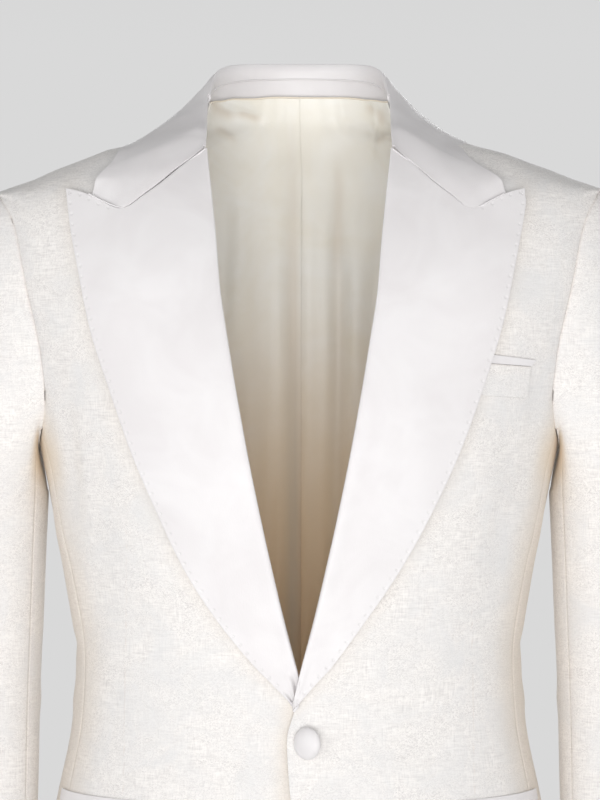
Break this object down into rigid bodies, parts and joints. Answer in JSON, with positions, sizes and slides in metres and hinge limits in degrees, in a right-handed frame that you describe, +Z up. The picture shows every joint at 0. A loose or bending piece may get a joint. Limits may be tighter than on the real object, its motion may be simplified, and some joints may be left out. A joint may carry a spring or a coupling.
{
  "type": "tuxedo jacket",
  "caption": "Cream single-breasted tuxedo jacket in figured ivory cloth, with wide satin peaked lapels, a satin collar, a covered button, a breast welt and a satin lining.",
  "frame": {"origin": "level with the nape, where the collar stand meets the centre back seam, on the centre line and midway between the fronts and the back at the wearer's neck", "axes": "+Z up, -Y out of the wearer's chest, +X to the wearer's left; the jacket hangs as worn from the neck and shoulders"},
  "size_m": [0.614, 0.2486, 0.7656],
  "materials": {
    "ivory_jacquard": "matt jacquard with a fine crinkled figure",
    "white_satin": "smooth satin with a soft sheen",
    "cream_lining": "satin lining"
  },
  "bodies": {
    "root": {"front_left": "ivory_jacquard", "back_left": "ivory_jacquard", "side_left": "ivory_jacquard", "top_sleeve_left": "ivory_jacquard", "under_sleeve_left": "ivory_jacquard", "lapel_left": "white_satin", "pocket_edge_upper_left": "white_satin", "pocket_edge_lower_left": "white_satin", "lining_back_left": "cream_lining", "front_right": "ivory_jacquard", "back_right": "ivory_jacquard", "side_right": "ivory_jacquard", "top_sleeve_right": "ivory_jacquard", "under_sleeve_right": "ivory_jacquard", "lapel_right": "white_satin", "pocket_edge_upper_right": "white_satin", "pocket_edge_lower_right": "white_satin", "lining_back_right": "cream_lining", "collar": "white_satin", "collar_stand": "white_satin", "breast_welt_edge": "white_satin", "front_button": "white_satin", "breast_welt": "ivory_jacquard"}
  },
  "joints": []
}
